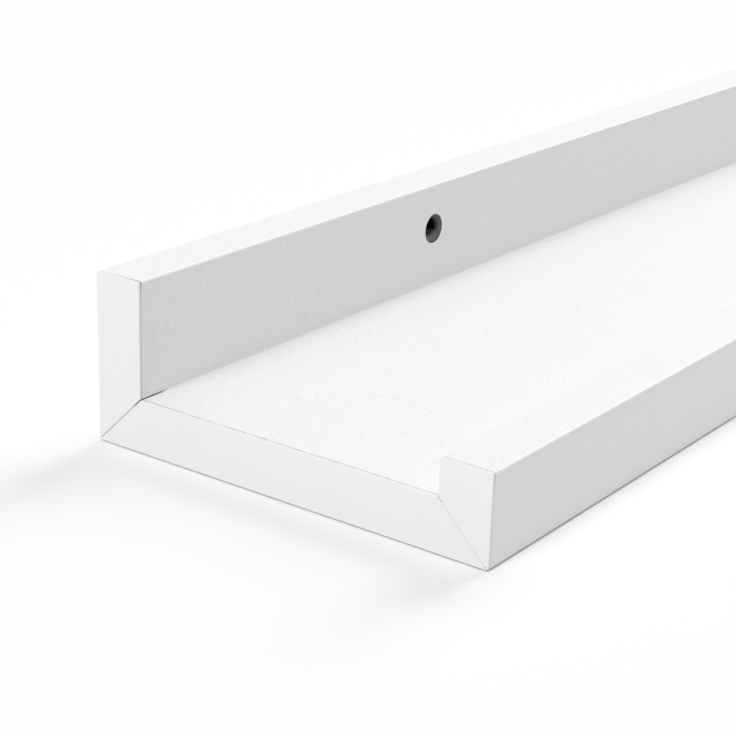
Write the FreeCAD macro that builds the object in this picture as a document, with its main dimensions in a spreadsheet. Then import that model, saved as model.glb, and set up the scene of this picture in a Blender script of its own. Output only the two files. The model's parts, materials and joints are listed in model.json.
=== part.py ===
import FreeCAD, Part
import os
import Sketcher

# Picture ledge: a long floating wall shelf with a tall back board, a base and a low front lip.
# The three boards are one foil-wrapped fibreboard panel, V-grooved and folded, so both lower
# corners are 45 degree mitres that meet inside a continuous outer foil. Each end is closed by
# three mitred edge bands. The shelf is screwed to the wall through two countersunk holes.
#
# Frame: X along the shelf, +Y into the wall, +Z up. The origin is under the middle of the shelf.

# Driving dimensions in millimetres and degrees, with what each one measures.
SIZES = (
    ("shelf_length", 600.0, "overall length, over both end bands"),
    ("shelf_depth", 100.0, "overall depth, front to wall"),
    ("back_height", 38.0, "overall height of the back board"),
    ("lip_height", 20.0, "overall height of the front lip"),
    ("board_thickness", 12.0, "each board, over its foil"),
    ("wrap_thickness", 0.3, "foil on the faces of the boards"),
    ("wrap_joint_height", 2.0, "height at which the underside foil meets the upright foils"),
    ("fold_radius", 0.7, "outside of the foil at the two folded corners"),
    ("top_edge_radius", 0.5, "long edges along the top of the back board and the lip"),
    ("band_thickness", 0.5, "edge bands on the ends"),
    ("band_edge_radius", 0.4, "rounding round the outer face of the bands"),
    ("band_glue_thickness", 0.2, "glue behind the bands"),
    ("band_glue_setback", 0.1, "glue behind the bands, under the faces of the boards"),
    ("glue_thickness", 0.3, "glue in the mitres"),
    ("back_joint_gap", 2.6, "depth to which the back mitre is open at its ends"),
    ("front_joint_gap", 1.4, "depth to which the front mitre is open at its ends"),
    ("joint_gap_length", 9.0, "length over which those gaps taper to nothing"),
    ("hole_end_inset", 108.0, "wall screw hole, from the end of the shelf"),
    ("hole_height", 26.5, "wall screw hole, above the underside"),
    ("hole_diameter", 4.5, "bore for the wall screw"),
    ("countersink_diameter", 8.0, "countersink at the face of the back board"),
    ("countersink_angle", 90.0, "whole angle of the countersink"),
)

# Points closer than this are the same point.
NEAR = 0.001

doc = FreeCAD.newDocument("picture_ledge")
sheet = doc.addObject("Spreadsheet::Sheet", "Sizes")


def fill_sheet():
    for row, (alias, number, meaning) in enumerate(SIZES, start=1):
        sheet.set(f"A{row}", alias)
        sheet.set(f"B{row}", str(number))
        sheet.set(f"C{row}", meaning)
        sheet.setAlias(f"B{row}", alias)
    doc.recompute()


# Lengths that the sketches share, written as expressions of the sheet's cells.
half_length = "Sizes.shelf_length / 2"
half_depth = "Sizes.shelf_depth / 2"
board = "Sizes.board_thickness"
wrap = "Sizes.wrap_thickness"
inner_face = f"({half_depth} - {board})"
panel_length = "Sizes.shelf_length - 2 * (Sizes.band_thickness + Sizes.band_glue_thickness)"
mitre_clearance = "Sizes.glue_thickness / sqrt(2)"
mitre_length = f"{board} * sqrt(2)"
joint_height = "Sizes.wrap_joint_height"


def value(expression):
    """What an expression of the sheet's cells comes to, as a plain number."""
    return float(sheet.evalExpression(expression))


def new_body(label):
    body = doc.addObject("PartDesign::Body", label)
    body.Label = label
    return body


def attach(sketch, body, role, offset="0"):
    """Lay a sketch on one of its body's origin planes, moved along the plane's normal."""
    plane = next(item for item in body.Origin.OriginFeatures if item.Role == role)
    sketch.AttachmentSupport = [(plane, "")]
    sketch.MapMode = "FlatFace"
    sketch.setExpression("AttachmentOffset.Base.z", offset)


def bind(sketch, name, kind, *where, length):
    """Add a dimension to a sketch and tie it to an expression of the sheet's cells."""
    index = sketch.addConstraint(Sketcher.Constraint(kind, *where, value(length)))
    sketch.renameConstraint(index, name)
    sketch.setExpression(f"Constraints.{name}", length)


def closed_outline(sketch, points):
    """Straight sides through the points in turn, joined end to end."""
    corners = [FreeCAD.Vector(u, v, 0) for u, v in points]
    count = len(corners)
    for side in range(count):
        sketch.addGeometry(Part.LineSegment(corners[side], corners[(side + 1) % count]))
    for side in range(count):
        sketch.addConstraint(Sketcher.Constraint("Coincident", side, 2, (side + 1) % count, 1))


def rectangle(body, label, left, right, bottom, top, role="YZ_Plane", offset="0"):
    """Sketch a rectangle whose four sides lie at the given expressions."""
    sketch = body.newObject("Sketcher::SketchObject", label)
    attach(sketch, body, role, offset)
    u0, u1, v0, v1 = (value(side) for side in (left, right, bottom, top))
    closed_outline(sketch, [(u0, v0), (u1, v0), (u1, v1), (u0, v1)])
    for side in (0, 2):
        sketch.addConstraint(Sketcher.Constraint("Horizontal", side))
    for side in (1, 3):
        sketch.addConstraint(Sketcher.Constraint("Vertical", side))
    bind(sketch, "left", "DistanceX", -1, 1, 0, 1, length=left)
    bind(sketch, "right", "DistanceX", -1, 1, 2, 1, length=right)
    bind(sketch, "bottom", "DistanceY", -1, 1, 0, 1, length=bottom)
    bind(sketch, "top", "DistanceY", -1, 1, 2, 1, length=top)
    return sketch


def polygon(body, label, points, role):
    """Sketch an outline whose corners lie at the given pairs of expressions."""
    sketch = body.newObject("Sketcher::SketchObject", label)
    attach(sketch, body, role)
    closed_outline(sketch, [(value(u), value(v)) for u, v in points])
    for corner, (u, v) in enumerate(points):
        bind(sketch, f"across_{corner}", "DistanceX", -1, 1, corner, 1, length=u)
        bind(sketch, f"up_{corner}", "DistanceY", -1, 1, corner, 1, length=v)
    return sketch


def pad(body, sketch, length, both_ways=True):
    feature = body.newObject("PartDesign::Pad", f"{body.Label}_pad")
    feature.Profile = sketch
    feature.SideType = "Symmetric" if both_ways else "One side"
    feature.setExpression("Length", length)
    doc.recompute()
    return feature


def pocket(body, sketch):
    """Cut a sketch through the whole body, both ways from the sketch's plane."""
    before = body.Shape.Volume
    feature = body.newObject("PartDesign::Pocket", f"{body.Label}_pocket")
    feature.Profile = sketch
    feature.SideType = "Symmetric"
    feature.Type = "ThroughAll"
    doc.recompute()
    if body.Shape.Volume >= before:
        raise RuntimeError(f"{feature.Label} cuts nothing")
    return feature


def fillet(body, radius, chosen):
    """Round the edges of the body for which chosen(edge) is true."""
    base = body.Tip
    names = [f"Edge{n}" for n, edge in enumerate(base.Shape.Edges, start=1) if chosen(edge)]
    if not names:
        raise RuntimeError(f"{body.Label} has no edge to round")
    feature = body.newObject("PartDesign::Fillet", f"{body.Label}_fillet")
    feature.Base = (base, names)
    feature.setExpression("Radius", radius)
    doc.recompute()
    return feature


def along_x_at(corners):
    """Choose the edges along X that pass through one of the (y, z) corners."""
    places = [(value(y), value(z)) for y, z in corners]

    def chosen(edge):
        ends = [vertex.Point for vertex in edge.Vertexes]
        return any(
            all(abs(end.y - y) < NEAR and abs(end.z - z) < NEAR for end in ends)
            for y, z in places
        )

    return chosen


def in_plane_x(x):
    """Choose the edges that lie in the plane at x."""

    def chosen(edge):
        return all(abs(vertex.X - x) < NEAR for vertex in edge.Vertexes)

    return chosen


# The sections of the three boards. Each has its side limits at a depth under the finished
# faces, its rounded top corners and its folded corners. side is +1 at the wall, -1 in front.

def upright_limits(side, height, depth):
    """Left, right, bottom and top of the back board (side +1) or the lip (side -1)."""
    near = f"{side} * ({inner_face} + {depth})"
    far = f"{side} * ({half_depth} - {depth})"
    left, right = (near, far) if side > 0 else (far, near)
    return left, right, depth, f"{height} - {depth}"


def base_limits(depth):
    return f"-({half_depth} - {depth})", f"{half_depth} - {depth}", depth, f"{board} - {depth}"


def round_top_edges(body, limits, depth):
    """Round an upright's front and rear top edges at a depth under its finished faces."""
    front, rear, _, top = limits
    fillet(body, f"Sizes.top_edge_radius - {depth}", along_x_at([(front, top), (rear, top)]))


def round_folds(body, corners, depth):
    """Round the folded corners of a body at a depth under its finished faces."""
    fillet(body, f"Sizes.fold_radius - {depth}", along_x_at(corners))


def cut_mitre(body, side, upright):
    """Cut one folded corner's mitre, leaving half the glue's thickness to the mitre plane.

    The cutter is a right-angled triangle whose long side lies on the cut and runs a board's
    thickness past both ends of it. Its square corner lies below an upright, or above the base.
    """
    sketch = body.newObject("Sketcher::SketchObject", f"{body.Label}_mitre_sketch")
    attach(sketch, body, "YZ_Plane")
    if upright:
        across = f"{side} * ({half_depth} - 2 * {board} + {mitre_clearance})"
        height = f"-{board}"
    else:
        across = f"{side} * ({half_depth} + {board} - {mitre_clearance})"
        height = f"2 * {board}"
    leg = f"3 * {board}"
    towards = side if upright else -side
    rise = 1 if upright else -1
    y, z, reach = value(across), value(height), value(leg)
    closed_outline(sketch, [(y, z), (y + towards * reach, z), (y, z + rise * reach)])
    sketch.addConstraint(Sketcher.Constraint("Horizontal", 0))
    sketch.addConstraint(Sketcher.Constraint("Vertical", 2))
    sketch.addConstraint(Sketcher.Constraint("Equal", 0, 2))
    bind(sketch, "across", "DistanceX", -1, 1, 0, 1, length=across)
    bind(sketch, "height", "DistanceY", -1, 1, 0, 1, length=height)
    bind(sketch, "leg", "DistanceX", 0, 1, 0, 2, length=f"{towards} * {leg}")
    return pocket(body, sketch)


def drill_wall_holes(body):
    """Drill the two countersunk wall screw holes from the back board's inner face."""
    sketch = body.newObject("Sketcher::SketchObject", f"{body.Label}_hole_sketch")
    attach(sketch, body, "XZ_Plane", offset=f"-{inner_face}")
    height = "Sizes.hole_height"
    for index, side in enumerate((-1, 1)):
        across = f"{side} * ({half_length} - Sizes.hole_end_inset)"
        centre = FreeCAD.Vector(value(across), value(height), 0)
        normal = FreeCAD.Vector(0, 0, 1)
        sketch.addGeometry(Part.Circle(centre, normal, value("Sizes.hole_diameter / 2")))
        bind(sketch, f"across_{index}", "DistanceX", -1, 1, index, 3, length=across)
        bind(sketch, f"height_{index}", "DistanceY", -1, 1, index, 3, length=height)
        bind(sketch, f"diameter_{index}", "Diameter", index, length="Sizes.hole_diameter")
    doc.recompute()
    before = body.Shape.Volume
    hole = body.newObject("PartDesign::Hole", f"{body.Label}_hole")
    hole.Profile = sketch
    hole.ThreadType = "None"
    hole.DepthType = "ThroughAll"
    hole.HoleCutType = "Countersink"
    hole.HoleCutCustomValues = True
    hole.setExpression("Diameter", "Sizes.hole_diameter")
    hole.setExpression("HoleCutDiameter", "Sizes.countersink_diameter")
    hole.setExpression("HoleCutCountersinkAngle", "Sizes.countersink_angle")
    doc.recompute()
    if body.Shape.Volume >= before:
        raise RuntimeError(f"{hole.Label} cuts nothing")


# Fibreboard cores. They lie a foil's thickness under every finished face.

def make_upright_core(label, side, height):
    core = new_body(label)
    limits = upright_limits(side, height, wrap)
    pad(core, rectangle(core, f"{label}_sketch", *limits), panel_length)
    round_top_edges(core, limits, wrap)
    fold_corner = (f"{side} * ({half_depth} - {wrap})", wrap)
    round_folds(core, [fold_corner], wrap)
    cut_mitre(core, side, upright=True)
    return core


def make_base_core(label):
    core = new_body(label)
    left, right, bottom, top = base_limits(wrap)
    pad(core, rectangle(core, f"{label}_sketch", left, right, bottom, top), panel_length)
    round_folds(core, [(left, bottom), (right, bottom)], wrap)
    for side in (-1, 1):
        cut_mitre(core, side, upright=False)
    return core


# Foils. The outer foil is one sheet round both folds. It is parted into three pieces a little
# above the folds, and the strip on top of the base lies between the two V-grooves.

def pad_hollow(skin, outer, inner):
    """Pad the outline of a foil and take out what it wraps, with the corners still square."""
    pad(skin, rectangle(skin, f"{skin.Label}_sketch", *outer), panel_length)
    pocket(skin, rectangle(skin, f"{skin.Label}_hollow_sketch", *inner))


def make_upright_wrap(label, side, height):
    """Foil over the inner face, the top and the outer face of the back board or the lip."""
    skin = new_body(label)
    outer, inner = (
        (front, rear, joint_height, top)
        for front, rear, _, top in (upright_limits(side, height, depth) for depth in ("0", wrap))
    )
    pad_hollow(skin, outer, inner)
    round_top_edges(skin, inner, wrap)
    round_top_edges(skin, outer, "0")
    cut_mitre(skin, side, upright=True)
    return skin


def make_underside_wrap(label):
    """Foil under the base and round both folds."""
    skin = new_body(label)
    outer, inner = (
        (left, right, bottom, joint_height)
        for left, right, bottom, _ in (base_limits(depth) for depth in ("0", wrap))
    )
    pad_hollow(skin, outer, inner)
    for (left, right, bottom, _), depth in ((inner, wrap), (outer, "0")):
        round_folds(skin, [(left, bottom), (right, bottom)], depth)
    return skin


def make_base_facing(label):
    """Strip of foil on top of the base, bevelled by the V-grooves."""
    strip = new_body(label)
    reach = f"{inner_face} + {wrap}"
    sketch = rectangle(strip, f"{label}_sketch", f"-({reach})", reach, f"{board} - {wrap}", board)
    pad(strip, sketch, panel_length)
    for side in (-1, 1):
        cut_mitre(strip, side, upright=False)
    return strip


# The ends. A band covers each board's end over its foil, with its outer face rounded all round.
# A sheet of glue, which stops just under the faces of the board, holds it on. Both are mitred
# with the boards.

class Layer:
    """One layer of an end: how far it lies from the end, its thickness and its setback."""

    def __init__(self, suffix, cover, thickness, depth, rounded):
        self.suffix = suffix
        self.cover = cover
        self.thickness = thickness
        self.depth = depth
        self.rounded = rounded


BAND = Layer("band", "0", "Sizes.band_thickness", "0", True)
BAND_GLUE = Layer(
    "band_glue",
    "Sizes.band_thickness",
    "Sizes.band_glue_thickness",
    "Sizes.band_glue_setback",
    False,
)


def start_end_sheet(layer, label, end, limits):
    """Flat square sheet on the right (end +1) or left (end -1) end."""
    sheet_body = new_body(f"{label}_{layer.suffix}")
    if end > 0:
        start = f"{half_length} - {layer.cover} - {layer.thickness}"
    else:
        start = f"{layer.cover} - {half_length}"
    sketch = rectangle(sheet_body, f"{sheet_body.Label}_sketch", *limits, offset=start)
    pad(sheet_body, sketch, layer.thickness, both_ways=False)
    return sheet_body


def round_outer_face(layer, sheet_body, end):
    if layer.rounded:
        fillet(sheet_body, "Sizes.band_edge_radius", in_plane_x(end * value(half_length)))


def make_upright_sheet(layer, label, end, side, height):
    limits = upright_limits(side, height, layer.depth)
    left, right, bottom, _ = limits
    sheet_body = start_end_sheet(layer, label, end, limits)
    round_top_edges(sheet_body, limits, layer.depth)
    round_folds(sheet_body, [(right if side > 0 else left, bottom)], layer.depth)
    round_outer_face(layer, sheet_body, end)
    cut_mitre(sheet_body, side, upright=True)
    return sheet_body


def make_base_sheet(layer, label, end):
    limits = base_limits(layer.depth)
    left, right, bottom, _ = limits
    sheet_body = start_end_sheet(layer, label, end, limits)
    round_folds(sheet_body, [(left, bottom), (right, bottom)], layer.depth)
    round_outer_face(layer, sheet_body, end)
    for side in (-1, 1):
        cut_mitre(sheet_body, side, upright=False)
    return sheet_body


# Glue films. Each is drawn flat, with Y measured down the mitre from the inner corner, and
# then turned onto its mitre plane. It runs through the end bands, where it stops at the fold's
# centre. Between the bands it reaches the foil of the fold, and in the inner corner it fills the
# joint up to the edges of the foils. Next to both ends it falls away from the inner corner and
# leaves the joint open.

def make_glue(label, side, joint_gap):
    film = new_body(label)
    fold_centre = f"{mitre_length} - Sizes.fold_radius * sqrt(2)"
    core_radius = f"(Sizes.fold_radius - {wrap})"
    foil_inside = f"{fold_centre} + sqrt({core_radius} ^ 2 - (Sizes.glue_thickness / 2) ^ 2)"
    through_finish = f"{fold_centre} - Sizes.glue_thickness / 2"
    bead = "-Sizes.glue_thickness / 2"
    closed_half = f"({half_length} - Sizes.joint_gap_length)"
    through = (
        (f"-{half_length}", joint_gap),
        (f"-{closed_half}", bead),
        (closed_half, bead),
        (half_length, joint_gap),
        (half_length, through_finish),
        (f"-{half_length}", through_finish),
    )
    closed = (f"-{closed_half}", closed_half, joint_gap, foil_inside)
    for sketch in (
        polygon(film, f"{label}_through_sketch", through, role="XY_Plane"),
        rectangle(film, f"{label}_closed_sketch", *closed, role="XY_Plane"),
    ):
        pad(film, sketch, "Sizes.glue_thickness")
    down_the_mitre = FreeCAD.Vector(0, side, -1)
    film.Placement = FreeCAD.Placement(
        FreeCAD.Vector(0, side * value(inner_face), value(board)),
        FreeCAD.Rotation(FreeCAD.Vector(0, 1, 0), down_the_mitre),
    )
    film.setExpression("Placement.Base.y", f"{side} * {inner_face}")
    film.setExpression("Placement.Base.z", board)
    return film


def make_all():
    back_board = make_upright_core("back_board", 1, "Sizes.back_height")
    back_wrap = make_upright_wrap("back_wrap", 1, "Sizes.back_height")
    for drilled in (back_board, back_wrap):
        drill_wall_holes(drilled)
    pieces = [
        back_board,
        make_base_core("base_board"),
        make_upright_core("front_lip", -1, "Sizes.lip_height"),
        back_wrap,
        make_upright_wrap("front_lip_wrap", -1, "Sizes.lip_height"),
        make_underside_wrap("underside_wrap"),
        make_base_facing("base_top_facing"),
        make_glue("back_mitre_glue", 1, "Sizes.back_joint_gap"),
        make_glue("front_mitre_glue", -1, "Sizes.front_joint_gap"),
    ]
    for name, end in (("left", -1), ("right", 1)):
        for layer in (BAND, BAND_GLUE):
            pieces += [
                make_upright_sheet(layer, f"{name}_back", end, 1, "Sizes.back_height"),
                make_base_sheet(layer, f"{name}_base", end),
                make_upright_sheet(layer, f"{name}_lip", end, -1, "Sizes.lip_height"),
            ]
    return pieces


def check(pieces):
    doc.recompute()
    for item in doc.Objects:
        if "Invalid" in item.State or "Error" in item.State:
            raise RuntimeError(f"{item.Label} failed: {item.State}")
    for piece in pieces:
        if piece.Shape.isNull() or not piece.Shape.isValid() or len(piece.Shape.Solids) != 1:
            raise RuntimeError(f"{piece.Label} isn't one valid solid")


def export(pieces):
    os.makedirs("parts", exist_ok=True)
    for piece in pieces:
        piece.Shape.exportStep(f"parts/{piece.Label}.step")


fill_sheet()
all_pieces = make_all()
check(all_pieces)
export(all_pieces)
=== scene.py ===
import json
import math

import bpy
from mathutils import Matrix, Vector


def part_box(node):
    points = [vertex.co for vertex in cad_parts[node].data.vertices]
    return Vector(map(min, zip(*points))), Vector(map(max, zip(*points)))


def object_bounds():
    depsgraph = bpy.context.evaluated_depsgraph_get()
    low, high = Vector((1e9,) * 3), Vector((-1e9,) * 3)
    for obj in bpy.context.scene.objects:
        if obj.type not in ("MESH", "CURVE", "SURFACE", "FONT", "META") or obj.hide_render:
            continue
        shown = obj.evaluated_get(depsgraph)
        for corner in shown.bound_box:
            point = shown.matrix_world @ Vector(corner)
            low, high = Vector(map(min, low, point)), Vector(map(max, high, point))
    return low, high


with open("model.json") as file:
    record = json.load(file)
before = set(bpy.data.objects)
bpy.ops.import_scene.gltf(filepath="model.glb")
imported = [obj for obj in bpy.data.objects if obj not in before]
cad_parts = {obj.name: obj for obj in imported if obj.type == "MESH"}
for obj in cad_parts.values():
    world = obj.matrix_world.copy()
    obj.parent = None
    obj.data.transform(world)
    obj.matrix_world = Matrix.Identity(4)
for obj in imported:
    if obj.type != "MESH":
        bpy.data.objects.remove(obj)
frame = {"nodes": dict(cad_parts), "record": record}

bl_info = {
    "name": "Picture ledge",
    "version": (1, 0, 0),
    "blender": (4, 5, 0),
    "location": "3D View > Sidebar > Ledge",
    "description": "Finishes and stages a white foil-wrapped picture ledge",
    "category": "Object",
}

MM = 0.001
WHITE = (1.0, 1.0, 1.0, 1.0)

# The sockets of a Mix node in its colour mode. Its other modes share their names.
MIX_SHARE, MIX_FIRST, MIX_SECOND = 0, 6, 7
MIX_RESULT = 2

# The nodes of the frame by what they are made of.
CORES = ("back_board", "base_board", "front_lip")
BANDS = tuple(
    f"{end}_{board}_band" for end in ("left", "right") for board in ("back", "base", "lip")
)
BAND_GLUES = tuple(f"{band}_glue" for band in BANDS)

# Places on the ledge, from the frame, in metres.
LOW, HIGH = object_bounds()
BACK_LOW, BACK_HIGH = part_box("back_wrap")
LIP_LOW, LIP_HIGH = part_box("front_lip_wrap")
SCREWS = next(m for m in frame["record"]["mounts"] if m["name"] == "wall_screws")
HOLE_X = SCREWS["dims"]["spacing_x_mm"] * MM / 2
HOLE_Z = SCREWS["pos_m"][2]
BORE_RADIUS = SCREWS["dims"]["hole_r_mm"] * MM


def linear(hex_colour):
    """An sRGB hex value as a linear colour with full alpha."""
    channels = [int(hex_colour[at:at + 2], 16) / 255 for at in (1, 3, 5)]
    return tuple(
        c / 12.92 if c <= 0.04045 else ((c + 0.055) / 1.055) ** 2.4 for c in channels
    ) + (1.0,)


def add_node(tree, kind, inputs=(), **settings):
    """Add a node, set its attributes, and link or set each of its inputs by name or number."""
    made = tree.nodes.new(kind)
    for name, setting in settings.items():
        setattr(made, name, setting)
    for key, source in dict(inputs).items():
        if isinstance(source, bpy.types.NodeSocket):
            tree.links.new(source, made.inputs[key])
        else:
            made.inputs[key].default_value = source
    return made


def new_material(name):
    """An empty node material and its node tree."""
    material = bpy.data.materials.new(name)
    material.use_nodes = True
    material.node_tree.nodes.clear()
    return material, material.node_tree


def finish_nodes(names, material):
    """Give CAD nodes a material through their objects' own slots."""
    for name in names:
        for slot in frame["nodes"][name].material_slots:
            slot.link = "OBJECT"
            slot.material = material


# Sizes and colours that a user would change.

class LedgeFinish(bpy.types.PropertyGroup):
    """Settings of the ledge's finishes"""

    foil_colour: bpy.props.FloatVectorProperty(
        name="Foil", description="Colour of the white foil", subtype="COLOR", size=4,
        default=linear("#FCFCFC"), min=0, max=1,
    )
    # Painted shade: the colour that the pits of the embossing are painted, darker than the foil.
    foil_pit_shade_colour: bpy.props.FloatVectorProperty(
        name="Foil pits", description="Colour in the pits of the foil's embossing",
        subtype="COLOR", size=4, default=linear("#E7E7E7"), min=0, max=1,
    )
    foil_grain: bpy.props.FloatProperty(
        name="Foil grain", description="Width of one dimple of the foil's embossing",
        default=0.3 * MM, unit="LENGTH",
    )
    foil_relief: bpy.props.FloatProperty(
        name="Foil relief", description="Depth of the foil's dimples",
        default=0.05 * MM, unit="LENGTH",
    )
    # This colour darkens the seams at the ends, partly as dirt and partly as painted shade of
    # their gaps.
    seam_dirt_and_shade_colour: bpy.props.FloatVectorProperty(
        name="Seam dirt", description="Colour of the dirt in the seams at the ends",
        subtype="COLOR", size=4, default=linear("#403E3C"), min=0, max=1,
    )
    band_colour: bpy.props.FloatVectorProperty(
        name="Edge band", description="Colour of the smooth edge bands", subtype="COLOR",
        size=4, default=linear("#F3F3F3"), min=0, max=1,
    )
    board_colour: bpy.props.FloatVectorProperty(
        name="Fibreboard", description="Colour of the raw fibreboard", subtype="COLOR",
        size=4, default=linear("#86837F"), min=0, max=1,
    )
    board_dark_colour: bpy.props.FloatVectorProperty(
        name="Fibreboard, dark fibres", description="Colour of its darker fibres",
        subtype="COLOR", size=4, default=linear("#55524F"), min=0, max=1,
    )
    # Painted shade: the bores are painted near black where they lie in shade.
    bore_shade_colour: bpy.props.FloatVectorProperty(
        name="Bore", description="Colour of the scorched wall of the screw holes' bores",
        subtype="COLOR", size=4, default=linear("#0C0B0B"), min=0, max=1,
    )
    # Painted light: the bores' lower side is painted this pale colour where light from above
    # falls.
    bore_painted_light_colour: bpy.props.FloatVectorProperty(
        name="Bore dust", description="Colour of the fibre dust that lies in the bores",
        subtype="COLOR", size=4, default=linear("#A5A099"), min=0, max=1,
    )
    glue_colour: bpy.props.FloatVectorProperty(
        name="Glue", description="Colour of clean set glue", subtype="COLOR", size=4,
        default=linear("#F0F0F0"), min=0, max=1,
    )
    back_glue_colour: bpy.props.FloatVectorProperty(
        name="Back mitre glue", description="Colour of the glue at the ends of the back mitre",
        subtype="COLOR", size=4, default=linear("#C4C2BF"), min=0, max=1,
    )
    front_glue_colour: bpy.props.FloatVectorProperty(
        name="Front mitre glue", description="Colour of the glue at the ends of the front mitre",
        subtype="COLOR", size=4, default=linear("#E9E8E7"), min=0, max=1,
    )
    band_glue_colour: bpy.props.FloatVectorProperty(
        name="Band glue", description="Colour of the glue line behind the edge bands",
        subtype="COLOR", size=4, default=linear("#CFCECC"), min=0, max=1,
    )


class LedgeStage(bpy.types.PropertyGroup):
    """Settings of the floor, the light and the camera"""

    floor_colour: bpy.props.FloatVectorProperty(
        name="Floor", description="Colour of the floor as the ledge is lit by it",
        subtype="COLOR", size=4, default=linear("#F0F0F0"), min=0, max=1,
    )
    floor_size: bpy.props.FloatProperty(
        name="Floor size", description="Length of the floor's sides", default=40.0,
        unit="LENGTH",
    )
    floor_gap: bpy.props.FloatProperty(
        name="Gap under the ledge", description="Gap that a ledge which isn't quite flat leaves",
        default=0.2 * MM, unit="LENGTH",
    )
    light_level: bpy.props.FloatProperty(
        name="Light level", description="Brightness of the lamps and the sky together",
        default=1.0,
    )
    sky_level: bpy.props.FloatProperty(
        name="Sky level", description="Soft light from all round", default=0.412,
    )
    lamp_spread: bpy.props.FloatProperty(
        name="Lamp spread", description="Apparent size of each lamp", subtype="ANGLE",
        default=math.radians(26),
    )
    camera_place: bpy.props.FloatVectorProperty(
        name="Camera", description="Where the camera stands", subtype="TRANSLATION", size=3,
        default=(-0.57491, -0.21956, 0.15824),
    )
    camera_azimuth: bpy.props.FloatProperty(
        name="Camera azimuth", description="Direction of view, from +Y towards +X",
        subtype="ANGLE", default=math.radians(54.144),
    )
    camera_elevation: bpy.props.FloatProperty(
        name="Camera elevation", description="How far the view looks down", subtype="ANGLE",
        default=math.radians(20.176),
    )
    camera_roll: bpy.props.FloatProperty(
        name="Camera roll", description="Turn of the camera about its view", subtype="ANGLE",
        default=math.radians(1.83),
    )
    camera_lens: bpy.props.FloatProperty(
        name="Focal length", description="Focal length on a 36 mm wide sensor, in mm",
        default=93.385,
    )


# Softboxes stand off both ends of the ledge. Each has its name, its direction from +X towards
# +Y and its height in degrees, and its level: at 1 it alone would show a white surface that
# faces it as full white. The near one stands a little in front, so that the floor along the
# lip and the base along the back board lie in its light.
LAMPS = (
    ("near end", 184, 45, 0.465),
    ("far end, high", 0, 45, 0.191),
    ("far end, low", 0, 20, 0.223),
    ("far back", 30, 45, 0.055),
)


# Materials.

def share_near_ends(tree, place, begin, full):
    """0 along the ledge, rising to 1 between two distances from both of its ends."""
    folded = add_node(tree, "ShaderNodeVectorMath", {0: place}, operation="ABSOLUTE")
    along = add_node(tree, "ShaderNodeSeparateXYZ", {0: folded.outputs["Vector"]})
    return add_node(tree, "ShaderNodeMapRange", {
        "Value": along.outputs["X"], "From Min": HIGH.x - begin, "From Max": HIGH.x - full,
    }).outputs["Result"]


def offset_from(tree, place, centre, weights):
    """The offset of a place from a centre, and its length, weighted along each axis."""
    away = add_node(tree, "ShaderNodeVectorMath", {
        0: place, 1: weights, 2: tuple(-c * w for c, w in zip(centre, weights)),
    }, operation="MULTIPLY_ADD").outputs["Vector"]
    length = add_node(tree, "ShaderNodeVectorMath", {0: away}, operation="LENGTH")
    return away, length.outputs["Value"]


def by_slope(tree, upright, upward):
    """A value on upright and downward faces that turns into another one on upward faces."""
    normal = add_node(tree, "ShaderNodeNewGeometry").outputs["True Normal"]
    facing = add_node(tree, "ShaderNodeSeparateXYZ", {0: normal})
    return add_node(tree, "ShaderNodeMapRange", {
        "Value": facing.outputs["Z"], "To Min": upright, "To Max": upward,
    }).outputs["Result"]


def worn_corner_dirt_and_shade(tree, place, y, z, run, dirt_and_shade):
    """Strength of dirt and painted shade at a worn corner, full in it, gone 3 mm down and a run
    inwards.
    """
    drop = 3 * MM
    full = 0.1 * drop
    _, distance = offset_from(tree, place, (0, y, z), (0, drop / run, 1))
    return add_node(tree, "ShaderNodeMapRange", {
        "Value": distance, "From Min": drop, "From Max": full, "To Max": dirt_and_shade,
    }).outputs["Result"]


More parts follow.
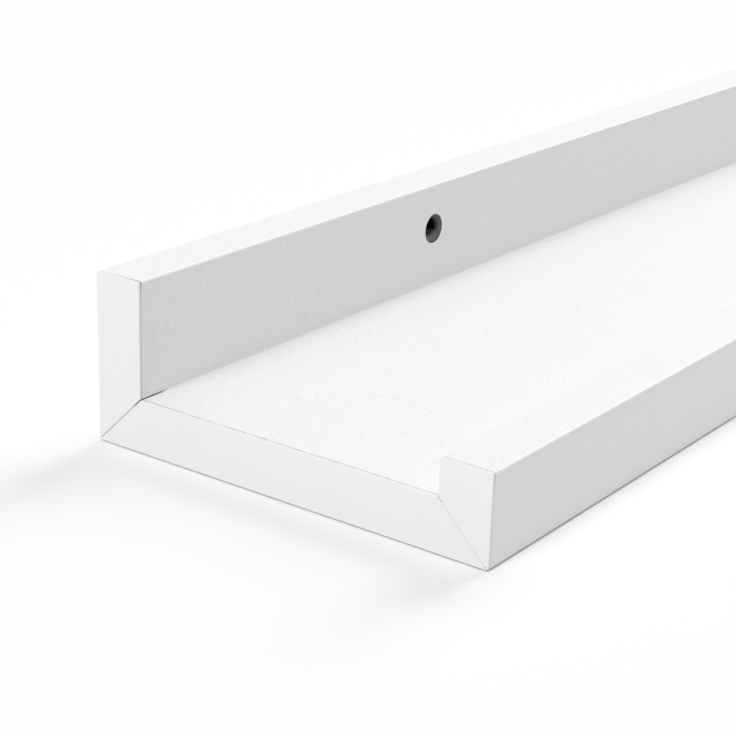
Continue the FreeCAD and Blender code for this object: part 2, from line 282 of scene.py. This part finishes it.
def embossed_foil(settings, name, relief, dirt_and_shade, corner=None):
    """Melamine-paper foil pressed on fibreboard with a fine orange-peel embossing.

    The eye gets a soft white with small shallow dimples that show in patches, painted shade
    in their pits and painted light on their crests, a satin sheen at low angles, and a fine line
    of dirt and painted shade in the seam at each end, darker where the top front corner is worn.
    """
    material, tree = new_material(name)
    place = add_node(tree, "ShaderNodeTexCoord").outputs["Object"]

    # The press leaves the embossing deeper in some patches than in others, and on some faces
    # deeper as a whole.
    patch_width = 10 * MM
    patches = add_node(tree, "ShaderNodeTexNoise", {"Vector": place, "Scale": 1 / patch_width})
    depth = add_node(tree, "ShaderNodeMapRange", {
        "Value": patches.outputs["Fac"], "From Min": 0.4, "From Max": 0.6,
        "To Min": 0.3, "To Max": 1.0,
    })
    pressed = add_node(tree, "ShaderNodeMath", {
        0: depth.outputs["Result"], 1: by_slope(tree, *relief),
    }, operation="MULTIPLY").outputs["Value"]

    # Each cell is a dimple, lowest in its middle. A real one is about 0.2 mm wide. It is drawn
    # coarser, so that it shows. Its pit is painted darker, as painted shade, and deeper dimples
    # have crests painted lighter too, as painted light, so a patch is no darker as a whole.
    peel = add_node(tree, "ShaderNodeTexVoronoi", {
        "Vector": place, "Scale": 1 / settings.foil_grain,
    }).outputs["Distance"]
    sunk = add_node(tree, "ShaderNodeMapRange", {
        "Value": peel, "From Min": 0.75, "From Max": 0.25, "To Min": -0.5, "To Max": 0.5,
    })
    pits = add_node(tree, "ShaderNodeMath", {
        0: sunk.outputs["Result"], 1: pressed, 2: 0.5,
    }, operation="MULTIPLY_ADD")
    foil = add_node(tree, "ShaderNodeMix", {
        MIX_SHARE: pits.outputs["Value"],
        MIX_FIRST: settings.foil_colour,
        MIX_SECOND: settings.foil_pit_shade_colour,
    }, data_type="RGBA")

    # Dirt and painted shade of the seam lie on the last few tenths of a millimetre before the
    # band, in short smears.
    seam = share_near_ends(tree, place, begin=1.0 * MM, full=0.85 * MM)
    smear_length = 2.5 * MM
    dirt_and_shade_smears = add_node(tree, "ShaderNodeTexNoise", {"Vector": place, "Scale": 1 / smear_length})
    thick = add_node(tree, "ShaderNodeMapRange", {
        "Value": dirt_and_shade_smears.outputs["Fac"], "From Min": 0.35, "From Max": 0.65,
        "To Min": 0.3, "To Max": 1.0,
    })
    dirt_and_shade_share = add_node(tree, "ShaderNodeMath", {
        0: thick.outputs["Result"], 1: by_slope(tree, *dirt_and_shade),
    }, operation="MULTIPLY").outputs["Value"]
    if corner:
        dirt_and_shade_share = add_node(tree, "ShaderNodeMath", {
            0: dirt_and_shade_share, 1: worn_corner_dirt_and_shade(tree, place, **corner),
        }, operation="MAXIMUM").outputs["Value"]
    strength = add_node(tree, "ShaderNodeMath", {0: seam, 1: dirt_and_shade_share}, operation="MULTIPLY")
    colour = add_node(tree, "ShaderNodeMix", {
        MIX_SHARE: strength.outputs["Value"],
        MIX_FIRST: foil.outputs[MIX_RESULT],
        MIX_SECOND: settings.seam_dirt_and_shade_colour,
    }, data_type="RGBA")

    bump = add_node(tree, "ShaderNodeBump", {
        "Height": peel, "Strength": pressed, "Distance": settings.foil_relief,
    })
    shader = add_node(tree, "ShaderNodeBsdfPrincipled", {
        "Base Color": colour.outputs[MIX_RESULT], "Roughness": 0.42, "IOR": 1.5,
        "Normal": bump.outputs["Normal"],
    })
    add_node(tree, "ShaderNodeOutputMaterial", {"Surface": shader.outputs["BSDF"]})
    return material


def extruded_edging(settings):
    """Extruded ABS edging, smooth and satin.

    The eye gets an even white with very faint long waves that the extruder leaves.
    """
    material, tree = new_material("extruded_abs_edging")
    place = add_node(tree, "ShaderNodeTexCoord").outputs["Object"]
    wave_length, wave_height = 6 * MM, 0.02 * MM
    waves = add_node(tree, "ShaderNodeTexNoise", {"Vector": place, "Scale": 1 / wave_length})
    bump = add_node(tree, "ShaderNodeBump", {
        "Height": waves.outputs["Fac"], "Distance": wave_height,
    })
    shader = add_node(tree, "ShaderNodeBsdfPrincipled", {
        "Base Color": settings.band_colour, "Roughness": 0.38, "IOR": 1.5,
        "Normal": bump.outputs["Normal"],
    })
    add_node(tree, "ShaderNodeOutputMaterial", {"Surface": shader.outputs["BSDF"]})
    return material


def machined_fibreboard(settings):
    """Medium-density fibreboard, sawn and drilled.

    The eye gets dull short fibres in two tones, the fine rings that the countersink bit leaves
    in its cone, a darker rim, and a bore painted near black as painted shade, with painted light
    along its lower side.
    """
    material, tree = new_material("machined_fibreboard")
    place = add_node(tree, "ShaderNodeTexCoord").outputs["Object"]

    # Single fibres are too fine to show, so the tufts that they stand in are drawn.
    tuft_width, tuft_height = 0.35 * MM, 0.08 * MM
    fibres = add_node(tree, "ShaderNodeTexNoise", {
        "Vector": place, "Scale": 1 / tuft_width, "Detail": 4.0, "Roughness": 0.7,
    }).outputs["Fac"]

    # Both screw holes are folded into one, and measured from its centre in x and z.
    folded = add_node(tree, "ShaderNodeVectorMath", {0: place}, operation="ABSOLUTE")
    away, radius = offset_from(
        tree, folded.outputs["Vector"], centre=(HOLE_X, 0, HOLE_Z), weights=(1, 0, 1),
    )

    # A ring pattern's period is a tenth of pi over its scale.
    ring_spacing = 0.5 * MM
    rings = add_node(tree, "ShaderNodeTexWave", {
        "Vector": away, "Scale": math.pi / 10 / ring_spacing, "Distortion": 0.4,
    }, wave_type="RINGS", rings_direction="Y")

    # The outer part of the cone is drawn darker.
    rim = add_node(tree, "ShaderNodeMapRange", {
        "Value": radius, "From Min": BORE_RADIUS + 0.9 * MM, "From Max": BORE_RADIUS + 1.5 * MM,
        "To Min": 0.0, "To Max": -0.35,
    })
    ringed = add_node(tree, "ShaderNodeMath", {
        0: rings.outputs["Fac"], 1: 0.15, 2: fibres,
    }, operation="MULTIPLY_ADD")
    tone = add_node(tree, "ShaderNodeMath", {
        0: ringed.outputs["Value"], 1: rim.outputs["Result"],
    }, operation="ADD")
    lit = add_node(tree, "ShaderNodeMapRange", {
        "Value": tone.outputs["Value"], "From Min": 0.2, "From Max": 0.7,
    })
    board = add_node(tree, "ShaderNodeMix", {
        MIX_SHARE: lit.outputs["Result"],
        MIX_FIRST: settings.board_dark_colour,
        MIX_SECOND: settings.board_colour,
    }, data_type="RGBA")

    # The bore is painted near black as painted shade, and its lower side is painted pale as
    # painted light from above.
    height = add_node(tree, "ShaderNodeSeparateXYZ", {0: away}).outputs["Z"]
    low = add_node(tree, "ShaderNodeMapRange", {
        "Value": height, "From Min": -0.3 * BORE_RADIUS, "From Max": -1.2 * BORE_RADIUS,
    })
    bore = add_node(tree, "ShaderNodeMix", {
        MIX_SHARE: low.outputs["Result"],
        MIX_FIRST: settings.bore_shade_colour,
        MIX_SECOND: settings.bore_painted_light_colour,
    }, data_type="RGBA")
    # Over the cone's last 1.2 mm the board fades into the bore's painted shade and painted
    # light.
    in_bore = add_node(tree, "ShaderNodeMapRange", {
        "Value": radius, "From Min": BORE_RADIUS + 1.2 * MM, "From Max": BORE_RADIUS,
    })
    colour = add_node(tree, "ShaderNodeMix", {
        MIX_SHARE: in_bore.outputs["Result"],
        MIX_FIRST: board.outputs[MIX_RESULT],
        MIX_SECOND: bore.outputs[MIX_RESULT],
    }, data_type="RGBA")

    bump = add_node(tree, "ShaderNodeBump", {"Height": fibres, "Distance": tuft_height})
    shader = add_node(tree, "ShaderNodeBsdfPrincipled", {
        "Base Color": colour.outputs[MIX_RESULT], "Roughness": 0.9, "IOR": 1.45,
        "Specular IOR Level": 0.1, "Normal": bump.outputs["Normal"],
    })
    add_node(tree, "ShaderNodeOutputMaterial", {"Surface": shader.outputs["BSDF"]})
    return material


def set_glue(tree, place, colour):
    """Finish a glue's material with a dull skin and small bubbles."""
    bubble_width, bubble_height = 0.5 * MM, 0.05 * MM
    bubbles = add_node(tree, "ShaderNodeTexNoise", {"Vector": place, "Scale": 1 / bubble_width})
    bump = add_node(tree, "ShaderNodeBump", {
        "Height": bubbles.outputs["Fac"], "Distance": bubble_height,
    })
    shader = add_node(tree, "ShaderNodeBsdfPrincipled", {
        "Base Color": colour, "Roughness": 0.6, "IOR": 1.48, "Normal": bump.outputs["Normal"],
    })
    add_node(tree, "ShaderNodeOutputMaterial", {"Surface": shader.outputs["BSDF"]})


def wiped_wood_glue(settings, name, end_colour):
    """White wood glue, squeezed out of a mitre and wiped.

    The eye gets a fine line, greyer at the ends, where dust sticks in it, and as white as the
    foil along the inner corners.
    """
    material, tree = new_material(name)
    place = add_node(tree, "ShaderNodeTexCoord").outputs["Object"]
    colour = add_node(tree, "ShaderNodeMix", {
        MIX_SHARE: share_near_ends(tree, place, begin=2.0 * MM, full=1.0 * MM),
        MIX_FIRST: settings.glue_colour,
        MIX_SECOND: end_colour,
    }, data_type="RGBA")
    set_glue(tree, place, colour.outputs[MIX_RESULT])
    return material


def rolled_hot_melt_glue(settings):
    """Hot-melt glue, rolled on behind the edge bands.

    The eye gets a hairline of grey between band and foil.
    """
    material, tree = new_material("rolled_hot_melt_glue")
    place = add_node(tree, "ShaderNodeTexCoord").outputs["Object"]
    set_glue(tree, place, settings.band_glue_colour)
    return material


# Operators, one for each group of like pieces and one for the stage.

# Each foil's material. The relief is the share of the full one that the embossing keeps, and
# the dirt and shade is the strength of the dirt and painted shade in the end seams, both on
# upright and downward faces and then on upward ones. A corner that is worn at both ends has its
# place, its run along the top and its dirt and painted shade.
FOIL_FINISHES = {
    "back_wrap": {
        "name": "embossed_foil_back", "relief": (0.8, 0.8), "dirt_and_shade": (0.12, 0.12),
        "corner": {"y": BACK_LOW.y, "z": BACK_HIGH.z, "run": 9 * MM, "dirt_and_shade": 0.6},
    },
    "front_lip_wrap": {
        "name": "embossed_foil_lip", "relief": (0.35, 1.0), "dirt_and_shade": (0.04, 0.45),
        "corner": {"y": LIP_LOW.y, "z": LIP_HIGH.z, "run": 3 * MM, "dirt_and_shade": 0.3},
    },
    "underside_wrap": {
        "name": "embossed_foil_underside", "relief": (0.35, 0.35), "dirt_and_shade": (0.06, 0.06),
    },
    "base_top_facing": {
        "name": "embossed_foil_base", "relief": (0.8, 0.8), "dirt_and_shade": (0.4, 0.4),
    },
}


class LEDGE_OT_foils(bpy.types.Operator):
    """Give the foils their embossed white finish"""

    bl_idname = "ledge.foils"
    bl_label = "Finish the foils"

    def execute(self, context):
        for node, finish in FOIL_FINISHES.items():
            finish_nodes([node], embossed_foil(context.scene.ledge_finish, **finish))
        return {"FINISHED"}


class LEDGE_OT_cores(bpy.types.Operator):
    """Give the boards their raw fibreboard, which shows in the screw holes"""

    bl_idname = "ledge.cores"
    bl_label = "Finish the fibreboard"

    def execute(self, context):
        finish_nodes(CORES, machined_fibreboard(context.scene.ledge_finish))
        return {"FINISHED"}


class LEDGE_OT_bands(bpy.types.Operator):
    """Give the end bands their smooth edging"""

    bl_idname = "ledge.bands"
    bl_label = "Finish the edge bands"

    def execute(self, context):
        finish_nodes(BANDS, extruded_edging(context.scene.ledge_finish))
        return {"FINISHED"}


class LEDGE_OT_glue(bpy.types.Operator):
    """Give the glue in the mitres and behind the bands its finish"""

    bl_idname = "ledge.glue"
    bl_label = "Finish the glue"

    def execute(self, context):
        settings = context.scene.ledge_finish
        for node, name, colour in (
            ("back_mitre_glue", "wiped_wood_glue_back", settings.back_glue_colour),
            ("front_mitre_glue", "wiped_wood_glue_front", settings.front_glue_colour),
        ):
            finish_nodes([node], wiped_wood_glue(settings, name, colour))
        finish_nodes(BAND_GLUES, rolled_hot_melt_glue(settings))
        return {"FINISHED"}


def seen_as_white(tree):
    """1 for what the camera, gloss and clear pieces see of the stage, and 0 for its light."""
    path = add_node(tree, "ShaderNodeLightPath").outputs
    straight = add_node(tree, "ShaderNodeMath", {
        0: path["Is Camera Ray"], 1: path["Is Glossy Ray"],
    }, operation="ADD")
    return add_node(tree, "ShaderNodeMath", {
        0: straight.outputs["Value"], 1: path["Is Transmission Ray"],
    }, operation="ADD", use_clamp=True).outputs["Value"]


def add_floor(settings):
    """A large white floor under the ledge, full white to the camera apart from shadows."""
    half = settings.floor_size / 2
    height = LOW.z - settings.floor_gap
    mesh = bpy.data.meshes.new("floor")
    corners = [
        (-half, -half, height),
        (half, -half, height),
        (half, half, height),
        (-half, half, height),
    ]
    mesh.from_pydata(corners, [], [(0, 1, 2, 3)])
    floor = bpy.data.objects.new("floor", mesh)
    bpy.context.scene.collection.objects.link(floor)
    material, tree = new_material("matt_white_floor")
    colour = add_node(tree, "ShaderNodeMix", {
        MIX_SHARE: seen_as_white(tree),
        MIX_FIRST: settings.floor_colour,
        MIX_SECOND: WHITE,
    }, data_type="RGBA")
    shader = add_node(tree, "ShaderNodeBsdfDiffuse", {"Color": colour.outputs[MIX_RESULT]})
    add_node(tree, "ShaderNodeOutputMaterial", {"Surface": shader.outputs["BSDF"]})
    mesh.materials.append(material)


def add_lamps(settings):
    """Soft lamps so far away that each lights everything alike."""
    for name, azimuth, elevation, level in LAMPS:
        lamp = bpy.data.lights.new(name, "SUN")
        # A sun of strength pi shows a white surface that faces it as full white.
        lamp.energy = level * settings.light_level * math.pi
        lamp.angle = settings.lamp_spread
        sun = bpy.data.objects.new(name, lamp)
        turn, rise = math.radians(azimuth), math.radians(elevation)
        towards = Vector((
            math.cos(rise) * math.cos(turn), math.cos(rise) * math.sin(turn), math.sin(rise),
        ))
        sun.rotation_euler = towards.to_track_quat("Z", "Y").to_euler()
        bpy.context.scene.collection.objects.link(sun)


def add_sky(settings):
    """Even light from all round, and a plain white background."""
    world = bpy.data.worlds.new("studio")
    world.use_nodes = True
    tree = world.node_tree
    tree.nodes.clear()
    light, white = (
        add_node(tree, "ShaderNodeBackground", {"Color": WHITE, "Strength": level})
        for level in (settings.sky_level * settings.light_level, 1.0)
    )
    mixed = add_node(tree, "ShaderNodeMixShader", {
        0: seen_as_white(tree), 1: light.outputs["Background"], 2: white.outputs["Background"],
    })
    add_node(tree, "ShaderNodeOutputWorld", {"Surface": mixed.outputs["Shader"]})
    bpy.context.scene.world = world


def add_camera(settings):
    """A camera at its place, turned by its azimuth, elevation and roll."""
    azimuth, elevation, roll = (
        settings.camera_azimuth, settings.camera_elevation, settings.camera_roll,
    )
    forward = Vector((
        math.sin(azimuth) * math.cos(elevation),
        math.cos(azimuth) * math.cos(elevation),
        -math.sin(elevation),
    ))
    level_right = forward.cross(Vector((0, 0, 1))).normalized()
    right = level_right * math.cos(roll) + level_right.cross(forward) * math.sin(roll)
    turn = Matrix((right, right.cross(forward), -forward)).transposed().to_4x4()
    lens = bpy.data.cameras.new("camera")
    lens.sensor_width = 36.0
    lens.lens = settings.camera_lens
    lens.clip_start = 0.01
    lens.clip_end = 100.0
    camera = bpy.data.objects.new("camera", lens)
    camera.matrix_world = Matrix.Translation(settings.camera_place) @ turn
    bpy.context.scene.collection.objects.link(camera)
    bpy.context.scene.camera = camera


class LEDGE_OT_stage(bpy.types.Operator):
    """Set up the white floor, the soft lamps, the sky and the camera"""

    bl_idname = "ledge.stage"
    bl_label = "Set up the stage"

    def execute(self, context):
        settings = context.scene.ledge_stage
        add_floor(settings)
        add_sky(settings)
        add_lamps(settings)
        add_camera(settings)
        context.scene.view_settings.view_transform = "Standard"
        return {"FINISHED"}


OPERATORS = (LEDGE_OT_foils, LEDGE_OT_cores, LEDGE_OT_bands, LEDGE_OT_glue, LEDGE_OT_stage)


class LEDGE_PT_panel(bpy.types.Panel):
    """Lists the ledge's operators and settings"""

    bl_idname = "LEDGE_PT_panel"
    bl_label = "Picture ledge"
    bl_space_type = "VIEW_3D"
    bl_region_type = "UI"
    bl_category = "Ledge"

    def draw(self, context):
        for operator in OPERATORS:
            self.layout.operator(operator.bl_idname)
        for settings in (context.scene.ledge_finish, context.scene.ledge_stage):
            for name in settings.bl_rna.properties.keys():
                if name not in ("rna_type", "name"):
                    self.layout.prop(settings, name)


CLASSES = (LedgeFinish, LedgeStage, *OPERATORS, LEDGE_PT_panel)


def register():
    for kind in CLASSES:
        bpy.utils.register_class(kind)
    bpy.types.Scene.ledge_finish = bpy.props.PointerProperty(type=LedgeFinish)
    bpy.types.Scene.ledge_stage = bpy.props.PointerProperty(type=LedgeStage)


def unregister():
    del bpy.types.Scene.ledge_stage
    del bpy.types.Scene.ledge_finish
    for kind in reversed(CLASSES):
        bpy.utils.unregister_class(kind)


def main():
    register()
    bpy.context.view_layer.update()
    bpy.ops.ledge.foils()
    bpy.ops.ledge.cores()
    bpy.ops.ledge.bands()
    bpy.ops.ledge.glue()
    bpy.ops.ledge.stage()


if __name__ == "__main__":
    main()
